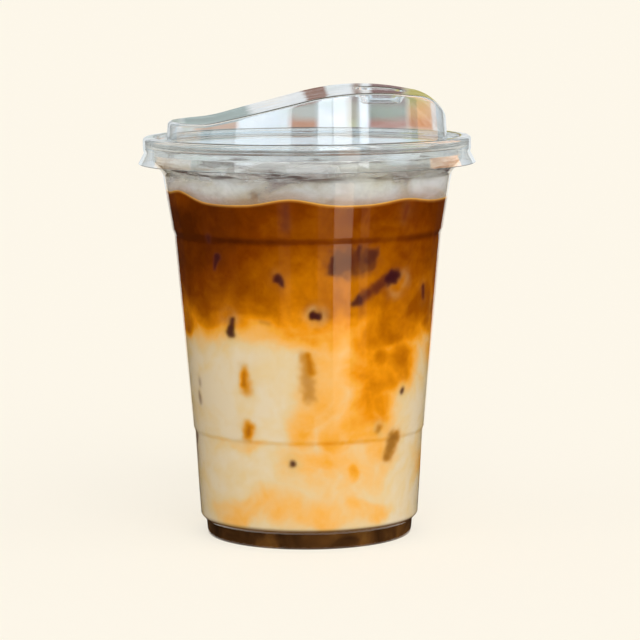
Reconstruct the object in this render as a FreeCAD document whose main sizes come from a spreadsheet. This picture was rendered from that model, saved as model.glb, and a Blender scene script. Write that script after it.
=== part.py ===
"""An iced latte in a clear take-away cup, with a clear sip lid snapped on its rim.

Millimetres, +Z up. The origin is the middle of the foot, on the surface that the cup stands on.
+X points to the side that one drinks from, where the lid is highest.

    cup       thermoformed clear cup: raised base, foot, score line, stacking ledge, curled rim
    lid       clear snap-on lid: flared skirt, bead over the rim, sealing channel, lopsided dome,
              and a sip well with its hole
    syrup     dark layer settled in the foot
    milk      pale layer, with a slanting upper surface
    coffee    brown layer, cut round the ice that floats in it
    ice_N     cubes that stand out of the drink

The cup's wall and everything in it share one line of corners, so the drink fits the wall exactly.
"""

import FreeCAD, Part
import math
import os
import Sketcher
from FreeCAD import Rotation, Vector

DOC = FreeCAD.newDocument("iced_latte")
SHEET = DOC.addObject("Spreadsheet::Sheet", "sizes")

SIZES = [
    # The curled rim, which the wall and the lid are measured from
    ("rim_radius", "49.0"),
    ("rim_height", "120.8"),
    ("curl_radius", "1.4"),
    ("curl_flat", "0.15"),
    ("mouth_radius", "=rim_radius - 2 * curl_radius + curl_flat"),
    # The cup's base and wall, with all radii to the outside
    ("wall", "0.45"),
    ("foot_radius", "31.1"),
    ("foot_flare", "0.4"),
    ("foot_height", "4.5"),
    ("foot_cut", "0.8"),
    ("ring_width", "3.4"),
    ("panel_rise", "2.0"),
    ("panel_slope", "1.8"),
    ("shoulder_width", "1.65"),
    ("shoulder_rise", "1.7"),
    ("shoulder_cut", "1.1"),
    ("line_flare", "1.7"),
    ("line_height", "31.9"),
    ("line_step", "0.45"),
    ("line_rise", "1.3"),
    ("ledge_flare", "3.3"),
    ("ledge_drop", "18.5"),
    ("ledge_step", "0.6"),
    ("ledge_rise", "1.7"),
    ("neck_flare", "3.05"),
    ("neck_drop", "3.4"),
    ("seat_drop", "7.0"),
    ("foot_top_radius", "=foot_radius + foot_flare"),
    ("line_radius", "=foot_top_radius + shoulder_width + line_flare"),
    ("seat_radius", "=mouth_radius + wall"),
    ("neck_radius", "=seat_radius - neck_flare"),
    ("ledge_radius", "=neck_radius - ledge_flare"),
    ("seat_height", "=rim_height - seat_drop"),
    ("neck_height", "=seat_height - neck_drop"),
    ("ledge_height", "=neck_height - ledge_drop"),
    # The lid's ring: a plug inside the rim, a bead over it, and a skirt that flares below it
    ("lid_wall", "0.4"),
    ("lid_play", "0.2"),
    ("lid_rest", "0.1"),
    ("plug_play", "0.15"),
    ("plug_depth", "2.1"),
    ("bead_below", "0.3"),
    ("bead_cut", "0.55"),
    ("groove_bite", "0.3"),
    ("groove_drop", "1.2"),
    ("skirt_flare", "1.7"),
    ("skirt_drop", "3.2"),
    ("ring_top", "=rim_height + lid_rest + lid_wall"),
    ("channel_floor", "=ring_top - plug_depth"),
    ("plug_radius", "=mouth_radius - plug_play"),
    ("bead_radius", "=rim_radius + lid_play + lid_wall"),
    ("bead_bottom", "=rim_height - 2 * curl_radius - bead_below"),
    ("groove_height", "=bead_bottom - groove_drop"),
    ("groove_radius", "=bead_radius - groove_bite"),
    ("skirt_radius", "=groove_radius + skirt_flare"),
    ("skirt_bottom", "=groove_height - skirt_drop"),
    # The dome: a drafted wall, and a top that is one side outline carried straight across.
    # Setbacks are measured in from the foot of the dome's wall.
    ("channel_width", "3.3"),
    ("dome_radius", "=plug_radius - lid_wall - channel_width"),
    ("dome_draft", "4"),
    ("dome_round", "1.2"),
    ("plateau_rise", "4.8"),
    ("plateau_setback", "12.3"),
    ("plateau_round", "35"),
    ("crown_setback", "28.5"),
    ("crown_slope", "13.8"),
    ("crown_round", "78"),
    ("brow_slope", "8.5"),
    ("brow_round", "11.5"),
    ("brow_reach", "0.3"),
    ("plateau_end", "=dome_radius - plateau_setback"),
    ("crown_offset", "=dome_radius - crown_setback"),
    ("plateau_top", "=ring_top + plateau_rise"),
    ("crown_top", "=plateau_top + (crown_offset + plateau_end) * tan(crown_slope)"),
    ("brow_edge", "=dome_radius + brow_reach"),
    ("brow_top", "=crown_top - (brow_edge - crown_offset) * tan(brow_slope)"),
    # The sip well in the crown, and its hole
    ("well_setback", "20.2"),
    ("well_length", "11.5"),
    ("well_width", "22"),
    ("well_round", "4"),
    ("well_depth", "4.2"),
    ("well_draft", "26"),
    ("hole_length", "7"),
    ("hole_width", "15"),
    ("hole_round", "3.2"),
    ("well_offset", "=dome_radius - well_setback"),
    ("well_floor", "=crown_top - (well_offset - crown_offset) * tan(brow_slope) - well_depth"),
    # The drink's layers
    ("syrup_level", "5.0"),
    ("milk_level", "54"),
    ("milk_slant", "8.5"),
    ("milk_wave", "1.8"),
    ("milk_wave_length", "70"),
    ("headroom", "17.6"),
    ("drink_level", "=rim_height - headroom"),
    ("swell_width", "9"),
    # The floating ice: a ring of cubes inside the wall, and one in the middle, so that three cubes
    # and the two gaps between them lie across the cup
    ("ice_gap", "7.8"),
    ("ice_spread", "0.8"),
    ("ice_cut", "1.9"),
    ("ice_room", "4.15"),
    ("ice_sink", "2.4"),
    ("ice_edge", "=(ledge_radius - ice_room - ice_gap) * 2 / 3"),
    ("ice_ring", "=ledge_radius - ice_room - ice_edge / 2"),
    ("ice_height", "=drink_level - ice_sink"),
    ("ice_bob", "1.4"),
    ("ice_tilt", "7"),
]
CURL_SIDES = 8  # sides of the curled rim's section
RING_CUBES = 5
FIRST_CUBE_ANGLE = -97  # degrees from +X
CUBE_TURN = 9  # degrees, to one side and the other in turn
BOB_PHASE = 150  # degrees of the up-and-down wave from one cube to the next
# Where the ice has pushed the drink up the wall: degrees from +X, and how high
SWELLS = ((-174, 2.5), (-152, 3.2), (-97, 2.1), (-47, 1.4), (24, 1.0), (82, 1.9), (138, 1.3))
MILK_PATCHES = 6  # across the milk's top
DRINK_PATCHES = 16  # across the drink's top


def fill_sheet():
    for row, (name, content) in enumerate(SIZES, start=1):
        SHEET.set(f"A{row}", name)
        SHEET.set(f"B{row}", content)
        SHEET.setAlias(f"B{row}", name)
    DOC.recompute()


def size(name):
    return float(SHEET.get(name))


def bound(formula):
    """The formula with each of the sheet's names reached from another object."""
    words = formula.replace("(", "( ").replace(")", " )").split()
    names = {name for name, _ in SIZES}
    return " ".join(f"sizes.{word}" if word in names else word for word in words)


def number(formula):
    """What a formula in the sheet's names comes to now."""
    SHEET.set("D1", "=" + formula)
    SHEET.recompute()
    value = SHEET.get("D1")
    return float(getattr(value, "Value", value))


# ---- Sketches ----------------------------------------------------------------------------------


def fix(sketch, constraint, formula):
    """Add a constraint whose value follows the formula."""
    index = sketch.addConstraint(constraint)
    sketch.setExpression(f"Constraints[{index}]", bound(formula))


def pin(sketch, geometry, point, corner):
    """Hold the first point of a geometry at a corner's x and y."""
    fix(sketch, Sketcher.Constraint("DistanceX", geometry, 1, point.x), corner[0])
    fix(sketch, Sketcher.Constraint("DistanceY", geometry, 1, point.y), corner[1])


def corner_arc(before, corner, after, radius):
    """The tangent arc that rounds a corner, with its ends, and which end comes first."""
    inward = (before - corner).normalize()
    outward = (after - corner).normalize()
    half = inward.getAngle(outward) / 2
    reach = radius / math.tan(half)
    centre = corner + (inward + outward).normalize() * (radius / math.sin(half))
    first, last = corner + inward * reach, corner + outward * reach
    turns_left = inward.cross(outward).z < 0
    start, stop = (first, last) if turns_left else (last, first)
    angles = [math.atan2(p.y - centre.y, p.x - centre.x) for p in (start, stop)]
    if angles[1] < angles[0]:
        angles[1] += 2 * math.pi
    arc = Part.ArcOfCircle(Part.Circle(centre, Vector(0, 0, 1), radius), *angles)
    return first, last, (arc, 1 if turns_left else 2)


def bevel_line(before, corner, after, length):
    """The straight cut across a corner, with its ends."""
    first = corner + (before - corner).normalize() * length
    last = corner + (after - corner).normalize() * length
    return first, last, (Part.LineSegment(first, last), 1)


def draw_outline(sketch, corners, bevelled=False):
    """A closed outline through corners of (x, y) or (x, y, softening), all given as formulas.

    The softening is the radius of a tangent arc or, if bevelled, the length cut off both sides.
    """
    points = [Vector(number(corner[0]), number(corner[1]), 0) for corner in corners]
    count = len(points)
    leaving, arriving = list(points), list(points)
    shapes = [None] * count
    for i, corner in enumerate(corners):
        if len(corner) == 3:
            soften = bevel_line if bevelled else corner_arc
            beyond = points[(i + 1) % count]
            arriving[i], leaving[i], shapes[i] = soften(points[i - 1], points[i], beyond, number(corner[2]))
    lines = []
    for i in range(count):
        segment = Part.LineSegment(leaving[i], arriving[(i + 1) % count])
        lines.append(sketch.addGeometry(segment, False))
    for i, corner in enumerate(corners):
        before, after = lines[i - 1], lines[i]
        if len(corner) == 2:
            sketch.addConstraint(Sketcher.Constraint("Coincident", before, 2, after, 1))
            pin(sketch, after, points[i], corner)
            continue
        mark = sketch.addGeometry(Part.Point(points[i]), True)
        sketch.addConstraint(Sketcher.Constraint("PointOnObject", mark, 1, before))
        sketch.addConstraint(Sketcher.Constraint("PointOnObject", mark, 1, after))
        pin(sketch, mark, points[i], corner)
        geometry, near = shapes[i]
        piece = sketch.addGeometry(geometry, False)
        if bevelled:
            sketch.addConstraint(Sketcher.Constraint("Coincident", before, 2, piece, 1))
            sketch.addConstraint(Sketcher.Constraint("Coincident", after, 1, piece, 2))
            for end in (1, 2):
                cut = Sketcher.Constraint("Distance", mark, 1, piece, end, number(corner[2]))
                fix(sketch, cut, corner[2])
        else:
            sketch.addConstraint(Sketcher.Constraint("Tangent", before, 2, piece, near))
            sketch.addConstraint(Sketcher.Constraint("Tangent", after, 1, piece, 3 - near))
            fix(sketch, Sketcher.Constraint("Radius", piece, number(corner[2])), corner[2])


def new_body(label):
    body = DOC.addObject("PartDesign::Body", label)
    body.Label = label
    return body


def new_sketch(body, label, plane, height=None):
    """A sketch on one of the body's own planes, raised along its normal if a height is given."""
    sketch = body.newObject("Sketcher::SketchObject", label)
    origin = next(o for o in body.Origin.OriginFeatures if getattr(o, "Role", "") == plane)
    sketch.AttachmentSupport = [(origin, "")]
    sketch.MapMode = "FlatFace"
    if height:
        sketch.setExpression("AttachmentOffset.Base.z", bound(height))
    return sketch


def revolve(body, label, corners):
    """Turn an outline of radii and heights about the Z axis, onto the body."""
    sketch = new_sketch(body, label + "_outline", "XZ_Plane")
    draw_outline(sketch, corners, bevelled=True)
    feature = body.newObject("PartDesign::Revolution", label)
    feature.Profile = sketch
    feature.ReferenceAxis = (sketch, ["V_Axis"])
    feature.Angle = 360
    body.Tip = feature
    DOC.recompute()
    return feature


def combine(kind, label, base, tool):
    """The Part workbench's Cut, Fuse or Common of two objects."""
    result = DOC.addObject(f"Part::{kind}", label)
    result.Label = label
    result.Base = base
    result.Tool = tool
    DOC.recompute()
    return result


# ---- The cup -----------------------------------------------------------------------------------

# Each corner of the wall's outside: radius, height, the length cut off both sides, and how many
# walls further in and further up the inside has its own corner.
WALL_LINE = [
    ("0", "panel_rise", None, 0, 1),
    ("foot_radius - ring_width - panel_slope", "panel_rise", None, -0.45, 1),
    ("foot_radius - ring_width", "0", None, -0.45, 1),
    ("foot_radius", "0", "foot_cut", 1, 1),
    ("foot_top_radius", "foot_height", None, 1, 0.4),
    ("foot_top_radius + shoulder_width", "foot_height + shoulder_rise", "shoulder_cut", 1, 0.4),
    ("line_radius", "line_height", None, 1, 0),
    ("line_radius + line_step", "line_height + line_rise", None, 1, 0),
    ("ledge_radius", "ledge_height", None, 1, 0),
    ("ledge_radius + ledge_step", "ledge_height + ledge_rise", None, 1, 0),
    ("neck_radius", "neck_height", None, 1, 0.3),
    ("seat_radius", "seat_height", None, 1, 0.4),
]


def wall_corners(inside):
    """The wall's corners, outside or inside, without the closing top."""
    corners = []
    for radius, height, cut, inward, upward in WALL_LINE:
        if inside and inward:
            radius = f"{radius} - {inward} * wall"
        if inside and upward:
            height = f"{height} + {upward} * wall"
        corners.append((radius, height, cut) if cut else (radius, height))
    return corners


def build_hollow():
    """The room inside the cup, up past the rim."""
    body = new_body("hollow")
    top = "rim_height + curl_radius"
    revolve(body, "hollow_form", wall_corners(True) + [("mouth_radius", top), ("0", top)])
    return body


def build_cup(hollow):
    body = new_body("cup_blank")
    middle = "rim_height - curl_radius"
    revolve(body, "blank_form", wall_corners(False) + [("seat_radius", middle), ("0", middle)])
    side = f"curl_radius * tan( {180 / CURL_SIDES} )"
    centre = "rim_radius - curl_radius"
    revolve(body, "curl", [turned_corner(centre, middle, "curl_radius", side, i) for i in range(CURL_SIDES)])
    return combine("Cut", "cup", body, hollow)


def turned_corner(x, y, reach, side, i):
    """Corner i of a regular outline about (x, y), from the middle of its first side."""
    angle = i * 360 / CURL_SIDES
    return (f"{x} + {reach} * cos( {angle} ) - {side} * sin( {angle} )",
            f"{y} + {reach} * sin( {angle} ) + {side} * cos( {angle} )")


# ---- The lid -----------------------------------------------------------------------------------


def build_lid_ring():
    """Channel floor, plug, bead and skirt, from the middle of the dome's wall outward."""
    body = new_body("lid_ring")
    inner = "dome_radius - lid_wall / 2"
    under = "ring_top - lid_wall"
    revolve(body, "ring_form", [
        (inner, "channel_floor - lid_wall"),
        ("plug_radius", "channel_floor - lid_wall"),
        ("plug_radius", under),
        ("bead_radius - lid_wall", under),
        ("bead_radius - lid_wall", "bead_bottom"),
        ("groove_radius - lid_wall", "groove_height"),
        ("skirt_radius - lid_wall", "skirt_bottom"),
        ("skirt_radius", "skirt_bottom"),
        ("groove_radius", "groove_height"),
        ("bead_radius", "bead_bottom"),
        ("bead_radius", "ring_top", "bead_cut"),
        ("plug_radius - lid_wall", "ring_top", "bead_cut"),
        ("plug_radius - lid_wall", "channel_floor"),
        (inner, "channel_floor"),
    ])
    return body


def build_dome(label, inset):
    """The dome as a solid, with its wall and top moved in by a formula."""
    body = new_body(label)
    base, high = "channel_floor - lid_wall", "crown_top + lid_wall"
    radius = f"dome_radius - {inset}"
    top_radius = f"{radius} - ( crown_top + 2 * lid_wall - channel_floor ) * tan( dome_draft )"
    revolve(body, label + "_wall", [("0", base), (radius, base), (top_radius, high), ("0", high)])

    sketch = new_sketch(body, label + "_outline", "XZ_Plane")
    edge = "2 * dome_radius"
    draw_outline(sketch, [
        (f"0 - {edge}", f"plateau_top - {inset}"),
        ("0 - plateau_end", f"plateau_top - {inset}", f"plateau_round + {inset}"),
        ("crown_offset", f"crown_top - {inset}", f"crown_round - {inset}"),
        (f"brow_edge - {inset}", f"brow_top - {inset}", f"brow_round - {inset}"),
        (f"brow_edge - {inset}", base),
        (edge, base),
        (edge, "2 * crown_top"),
        (f"0 - {edge}", "2 * crown_top"),
    ])
    pocket = body.newObject("PartDesign::Pocket", label + "_top")
    pocket.Profile = sketch
    pocket.Type = "ThroughAll"
    pocket.Midplane = True
    body.Tip = pocket
    DOC.recompute()

    rounding = body.newObject("PartDesign::Fillet", label + "_edge")
    rounding.Base = (pocket, dome_rim_edges(pocket.Shape, size("dome_radius") - number(inset)))
    rounding.setExpression("Radius", bound(f"dome_round - {inset}"))
    body.Tip = rounding
    DOC.recompute()
    return body


def dome_rim_edges(shape, base_radius):
    """The edges where the dome's top meets its drafted wall."""
    base = number("channel_floor - lid_wall")
    draft = math.tan(math.radians(size("dome_draft")))
    names = []
    for i, edge in enumerate(shape.Edges, start=1):
        middle = edge.valueAt((edge.FirstParameter + edge.LastParameter) / 2)
        wall_radius = base_radius - (middle.z - base) * draft
        on_wall = abs(math.hypot(middle.x, middle.y) - wall_radius) < 0.01
        if on_wall and edge.BoundBox.ZMin > base + 1:
            names.append(f"Edge{i}")
    return names


def build_pad(label, corners, foot, length, taper="0"):
    """An outline in a level plane, carried upward, opening out by its taper."""
    body = new_body(label)
    sketch = new_sketch(body, label + "_outline", "XY_Plane", foot)
    draw_outline(sketch, corners)
    pad = body.newObject("PartDesign::Pad", label + "_pad")
    pad.Profile = sketch
    pad.setExpression("Length", bound(length))
    pad.setExpression("TaperAngle", bound(taper))
    body.Tip = pad
    DOC.recompute()
    return body


def slot_corners(length, width, rounding):
    """A rounded rectangle about the well's middle."""
    near, far = f"well_offset - ( {length} ) / 2", f"well_offset + ( {length} ) / 2"
    low, high = f"0 - ( {width} ) / 2", f"( {width} ) / 2"
    return [(near, low, rounding), (far, low, rounding), (far, high, rounding), (near, high, rounding)]


def build_well(label, grown):
    """The sip well's room, or with a grown outline the plastic round it."""
    length, width = f"well_length + 2 * {grown}", f"well_width + 2 * {grown}"
    outline = slot_corners(length, width, f"well_round + {grown}")
    return build_pad(label, outline, f"well_floor - {grown}", "3 * well_depth", "well_draft")


def build_lid():
    outside, inside = "0 * lid_wall", "lid_wall"
    dome = combine("Cut", "dome_dished", build_dome("dome", outside), build_well("well", outside))
    room = combine("Cut", "room_dished", build_dome("dome_room", inside), build_well("well_plastic", inside))
    shell = combine("Cut", "dome_shell", dome, room)
    whole = combine("Fuse", "lid_whole", shell, build_lid_ring())
    hole = build_pad("sip_hole", slot_corners("hole_length", "hole_width", "hole_round"),
                     "well_floor - well_depth", "2 * well_depth")
    return combine("Cut", "lid", whole, hole)


# ---- The drink ---------------------------------------------------------------------------------


def block_under(label, height_at, patches):
    """All that lies under a wavy surface, given by its height over each point of the floor."""
    reach = 1.1 * size("mouth_radius")
    steps = [reach * (2 * i / patches - 1) for i in range(patches + 1)]
    surface = Part.BSplineSurface()
    surface.interpolate([[Vector(x, y, height_at(x, y)) for y in steps] for x in steps])
    block = DOC.addObject("Part::Feature", label)
    block.Shape = surface.toShape().extrude(Vector(0, 0, -1.5 * size("rim_height")))
    return block


def drink_height(x, y):
    """The drink's top: level in the middle, with a swell up the wall wherever ice presses it."""
    wall_radius = size("neck_radius")
    height = size("drink_level")
    for angle, rise in SWELLS:
        crest = Vector(wall_radius, 0, 0)
        crest = Rotation(Vector(0, 0, 1), angle).multVec(crest)
        distance = math.hypot(x - crest.x, y - crest.y)
        height += rise * math.exp(-((distance / size("swell_width")) ** 2))
    return height


def milk_height(x, y):
    """The milk's top: higher away from the sip well, and gently wavy."""
    turn = 2 * math.pi / size("milk_wave_length")
    wave = math.sin(turn * x + 0.6) * math.cos(turn * y)
    return size("milk_level") - size("milk_slant") * x / size("line_radius") + size("milk_wave") * wave


def build_drink(hollow, ice):
    """Syrup in the foot, milk on it, and coffee on top, cut round the ice."""
    wide = "2 * rim_radius"
    square = [(f"0 - {wide}", f"0 - {wide}"), (wide, f"0 - {wide}"), (wide, wide), (f"0 - {wide}", wide)]
    syrup_block = build_pad("syrup_block", square, "syrup_level - rim_height", "rim_height")
    milk_block = block_under("milk_block", milk_height, MILK_PATCHES)
    drink_block = block_under("drink_block", drink_height, DRINK_PATCHES)
    syrup = combine("Common", "syrup", hollow, syrup_block)
    milk = combine("Cut", "milk", combine("Common", "milk_and_syrup", hollow, milk_block), syrup_block)
    drink = combine("Common", "drink", hollow, drink_block)
    cubes = DOC.addObject("Part::Compound", "cubes")
    cubes.Links = ice
    coffee = combine("Cut", "coffee", combine("Cut", "coffee_whole", drink, milk_block), cubes)
    return [coffee, milk, syrup]


# ---- The ice -----------------------------------------------------------------------------------


def build_cube(index, east, north, turn, lift):
    """A rounded cube, afloat at a place given by formulas, turned and tilted."""
    side = 1 if index % 2 else -1
    body = new_body(f"ice_{index}")
    sketch = new_sketch(body, f"ice_{index}_outline", "XY_Plane")
    length, width = f"ice_edge + {side} * ice_spread", f"ice_edge - {side} * ice_spread"
    draw_outline(sketch, [
        (f"0 - ( {length} ) / 2", f"0 - ( {width} ) / 2"),
        (f"( {length} ) / 2", f"0 - ( {width} ) / 2"),
        (f"( {length} ) / 2", f"( {width} ) / 2"),
        (f"0 - ( {length} ) / 2", f"( {width} ) / 2"),
    ])
    pad = body.newObject("PartDesign::Pad", f"ice_{index}_pad")
    pad.Profile = sketch
    pad.Midplane = True
    pad.setExpression("Length", bound("ice_edge"))
    body.Tip = pad
    DOC.recompute()
    melt = body.newObject("PartDesign::Chamfer", f"ice_{index}_melt")
    melt.Base = (pad, [f"Edge{i}" for i in range(1, len(pad.Shape.Edges) + 1)])
    melt.setExpression("Size", bound("ice_cut"))
    body.Tip = melt
    height = f"ice_height + {lift} * ice_bob"
    tilt = f"{side} * ice_tilt"
    body.setExpression("Placement", f"placement(vector({bound(east)}; {bound(north)}; {bound(height)}); "
                       f"rotation({turn}; {bound(tilt)}; {bound(tilt)}))")
    DOC.recompute()
    return body


def build_ice():
    cubes = []
    for i in range(RING_CUBES):
        angle = FIRST_CUBE_ANGLE + i * 360 / RING_CUBES
        turn = angle + (CUBE_TURN if i % 2 else -CUBE_TURN)
        lift = round(math.cos(math.radians(BOB_PHASE * i)), 2)
        east, north = f"ice_ring * cos( {angle} )", f"ice_ring * sin( {angle} )"
        cubes.append(build_cube(i + 1, east, north, turn, lift))
    cubes.append(build_cube(RING_CUBES + 1, "0", "0", 2 * CUBE_TURN, 1))
    return cubes


# ---- The whole, and its files ------------------------------------------------------------------


def check(pieces):
    for thing in DOC.Objects:
        if "Invalid" in thing.State or "Error" in thing.State:
            raise RuntimeError(f"{thing.Label} did not build")
    for piece in pieces:
        if piece.Shape.isNull() or not piece.Shape.isValid() or len(piece.Shape.Solids) != 1:
            raise RuntimeError(f"{piece.Label} is not one sound solid")


def main():
    fill_sheet()
    hollow = build_hollow()
    ice = build_ice()
    pieces = [build_cup(hollow), build_lid()] + build_drink(hollow, ice) + ice
    check(pieces)
    os.makedirs("parts", exist_ok=True)
    for piece in pieces:
        piece.Shape.exportStep(f"parts/{piece.Label}.step")
        print(piece.Label, round(piece.Shape.Volume / 1000, 2), "ml")


main()
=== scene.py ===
# %% [markdown]
# An iced latte in a clear take-away cup, under a clear lid with a raised sip spout.
# The CAD model gives every piece its place and size. This lesson gives the pieces their looks:
# thin clear plastic, a drink whose coffee sinks into its milk in clouds, and floating ice.
# It starts by loading the CAD model as a fixed frame, and keeps the frame's box for later.

# %% Load the frame
import math
import random

import bmesh
import bpy
from mathutils import Matrix, Vector, noise


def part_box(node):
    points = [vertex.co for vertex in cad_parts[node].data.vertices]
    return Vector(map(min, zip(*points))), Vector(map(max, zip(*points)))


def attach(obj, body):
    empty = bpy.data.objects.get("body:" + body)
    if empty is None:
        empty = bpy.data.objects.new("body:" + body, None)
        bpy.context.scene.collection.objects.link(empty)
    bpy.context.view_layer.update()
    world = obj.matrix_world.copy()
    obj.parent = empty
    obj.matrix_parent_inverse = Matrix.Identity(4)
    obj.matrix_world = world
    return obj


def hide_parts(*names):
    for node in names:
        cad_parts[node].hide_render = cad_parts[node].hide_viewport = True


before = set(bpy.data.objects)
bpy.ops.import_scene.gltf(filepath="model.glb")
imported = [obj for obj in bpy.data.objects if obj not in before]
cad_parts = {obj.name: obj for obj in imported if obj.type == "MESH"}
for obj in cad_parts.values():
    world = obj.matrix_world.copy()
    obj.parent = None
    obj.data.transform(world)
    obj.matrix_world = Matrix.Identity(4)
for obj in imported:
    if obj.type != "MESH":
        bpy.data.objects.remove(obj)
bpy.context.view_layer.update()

MM = 0.001  # all sizes below are written in millimetres and used in metres
CUP_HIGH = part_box("cup")[1]
LID_LOW, LID_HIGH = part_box("lid")
RIM_RADIUS = CUP_HIGH.x
RIM_TOP = CUP_HIGH.z
print("cup", round(CUP_HIGH.z / MM, 2), "mm high, lid up to", round(LID_HIGH.z / MM, 2), "mm")

# %% [markdown]
# Most pieces here are thin shells or skins that go right round the cup. Each starts as one line,
# and a line of straight runs with rounded corners is what a draughtsman would draw for it.
# So the first helper turns corners, each with a radius, into a line with arcs. It works on flat
# outlines and on outlines in space alike, because an arc lies in the plane of its two runs.

# %% A line with rounded corners
def rounded(corners, steps=6):
    """Points along corners given as (place, radius), with an arc at each corner that has one."""
    line = []
    for i, (corner, radius) in enumerate(corners):
        if not radius:
            line.append(corner.copy())
            continue
        before = (corners[i - 1][0] - corner).normalized()
        after = (corners[i + 1][0] - corner).normalized()
        half = before.angle(after) / 2
        centre = corner + (before + after).normalized() * (radius / math.sin(half))
        reach = radius / math.tan(half)
        start = corner + before * reach - centre
        end = corner + after * reach - centre
        for s in range(steps):
            line.append(centre + start.slerp(end, s / (steps - 1)).normalized() * radius)
    return line


def with_edge(line, reach):
    """The line with a point set just before its last one, so that its cut edge shades crisply."""
    last, before = line[-1], line[-2]
    return line[:-1] + [last + (before - last).normalized() * reach, last]


def flat_line(*corners, steps=6):
    """The same, from (radius out from the axis, height, rounding) in millimetres."""
    places = [(Vector((r, z)) * MM, rounding * MM) for r, z, rounding in corners]
    return rounded(places, steps)


print("one rounded corner takes", len(flat_line((0, 0, 0), (9, 0, 2), (9, 9, 0))) - 2, "points")

# %% [markdown]
# A finished piece is an object that sits at the origin with its place in its mesh, rides on the
# cup's one body, stands for its CAD node and has a smooth surface. One helper does all of that,
# so no piece can miss a step.

# %% Finish a piece
AROUND = 192  # steps of a full turn


def make_piece(name, bm, node, finish, sharp=180):
    """The object made of a bmesh, standing for one CAD node."""
    mesh = bpy.data.meshes.new(name)
    bm.to_mesh(mesh)
    bm.free()
    mesh.shade_smooth()
    if sharp < 180:
        mesh.set_sharp_from_angle(angle=math.radians(sharp))
    piece = bpy.data.objects.new(name, mesh)
    bpy.context.scene.collection.objects.link(piece)
    mesh.materials.append(finish)
    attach(piece, "root")
    if node:
        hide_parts(node)
    print(name, len(mesh.polygons), "faces")
    return piece


def wall_up(piece, thickness):
    """Give a skin its wall, inward from the side that its normals show."""
    wall = piece.modifiers.new("wall", "SOLIDIFY")
    wall.thickness = thickness
    wall.offset = -1
    wall.use_even_offset = True


def store(piece, **lists):
    """Store a number on each vertex under each name, for a finish to read."""
    for name, numbers in lists.items():
        piece.data.attributes.new(name, "FLOAT", "POINT").data.foreach_set("value", numbers)


# %% [markdown]
# Shader maths is easier to read as sums than as boxes and wires. The class below wraps a number
# that comes out of a node, so that ordinary operators add the Math nodes. Every other node comes
# from one method, which takes its type, its settings and what goes into its sockets.

# %% Numbers and nodes of a finish
class Number:
    """A number socket on which Python's operators work."""

    def __init__(self, nodes, socket):
        self.nodes = nodes
        self.socket = socket

    def combine(self, operation, first, second):
        made = self.nodes.node("ShaderNodeMath", {"operation": operation}, {0: first, 1: second})
        return Number(self.nodes, made.outputs[0])

    def __add__(self, other):
        return self.combine("ADD", self, other)

    def __mul__(self, other):
        return self.combine("MULTIPLY", self, other)

    def __sub__(self, other):
        return self.combine("SUBTRACT", self, other)

    def __rsub__(self, other):
        return self.combine("SUBTRACT", other, self)

    def at_most(self, other):
        return self.combine("MINIMUM", self, other)

    def at_least(self, other):
        return self.combine("MAXIMUM", self, other)

    def between(self, low, high):
        return self.at_least(low).at_most(high)

    __radd__ = __add__
    __rmul__ = __mul__


class Nodes:
    """The nodes of one material or of the world."""

    def __init__(self, tree):
        self.tree = tree
        tree.nodes.clear()

    def node(self, kind, settings=None, values=None):
        made = self.tree.nodes.new(kind)
        for name, setting in (settings or {}).items():
            if name == "stops":
                self.set_stops(made.color_ramp, setting)
            else:
                setattr(made, name, setting)
        for name, value in (values or {}).items():
            socket = made.inputs[name]
            if isinstance(value, Number):
                value = value.socket
            if isinstance(value, bpy.types.NodeSocket):
                self.tree.links.new(value, socket)
            else:
                socket.default_value = value
        return made

    def set_stops(self, ramp, stops):
        """A ramp's stops, as (position, colour), the first two in the ramp's own two elements."""
        while len(ramp.elements) < len(stops):
            ramp.elements.new(0.5)
        for element, (position, colour) in zip(ramp.elements, stops):
            element.position = position
            element.color = colour

    def number(self, socket):
        return Number(self, socket)

    def blend(self, share, low, high):
        """One colour turning into another."""
        made = self.node("ShaderNodeMix", {"data_type": "RGBA"}, {0: share, 6: low, 7: high})
        return made.outputs[2]

    def cloud(self, place, scale, detail=3.0, roughness=0.5, warp=0.0):
        """Soft noise from 0 to 1 over a place."""
        made = self.node("ShaderNodeTexNoise", {"noise_dimensions": "3D"},
                         {"Vector": place, "Scale": scale, "Detail": detail, "Roughness": roughness,
                          "Distortion": warp})
        return Number(self, made.outputs["Fac"])


def colour(red, green, blue):
    """A colour written from 0 to 255 as screens show it, in the light units that nodes take."""
    parts = [part / 255 for part in (red, green, blue)]
    linear = [p / 12.92 if p <= 0.04045 else ((p + 0.055) / 1.055) ** 2.4 for p in parts]
    return (*linear, 1.0)


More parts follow.
